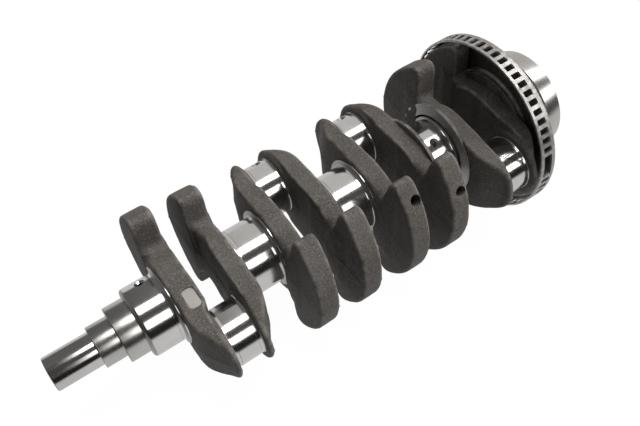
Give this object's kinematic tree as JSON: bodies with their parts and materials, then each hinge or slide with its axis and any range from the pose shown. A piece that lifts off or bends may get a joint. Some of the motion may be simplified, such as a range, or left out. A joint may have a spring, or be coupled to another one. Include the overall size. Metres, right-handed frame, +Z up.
{
  "type": "crankshaft",
  "caption": "Forged inline four-cylinder crankshaft with counterweighted webs, rear flywheel flange and a windowed speed sensor wheel screwed to the last web.",
  "frame": {"origin": "middle of the part's box, on the axis of the main journals", "axes": "+X along the main journals from the nose to the rear flange, +Y towards the two inner crankpins, +Z up with the crankpins level"},
  "size_m": [0.4716, 0.162, 0.162],
  "materials": {
    "forged_steel": "shot-blasted forging with ground and polished journals",
    "pressed_steel": "pressed bright sheet",
    "screw_steel": "phosphated",
    "dowel_steel": "ground"
  },
  "bodies": {
    "root": {"crankshaft": "forged_steel", "sensor_wheel": "pressed_steel", "sensor_wheel_screw_1": "screw_steel", "sensor_wheel_screw_2": "screw_steel", "sensor_wheel_screw_3": "screw_steel", "flange_dowel": "dowel_steel"}
  },
  "joints": []
}
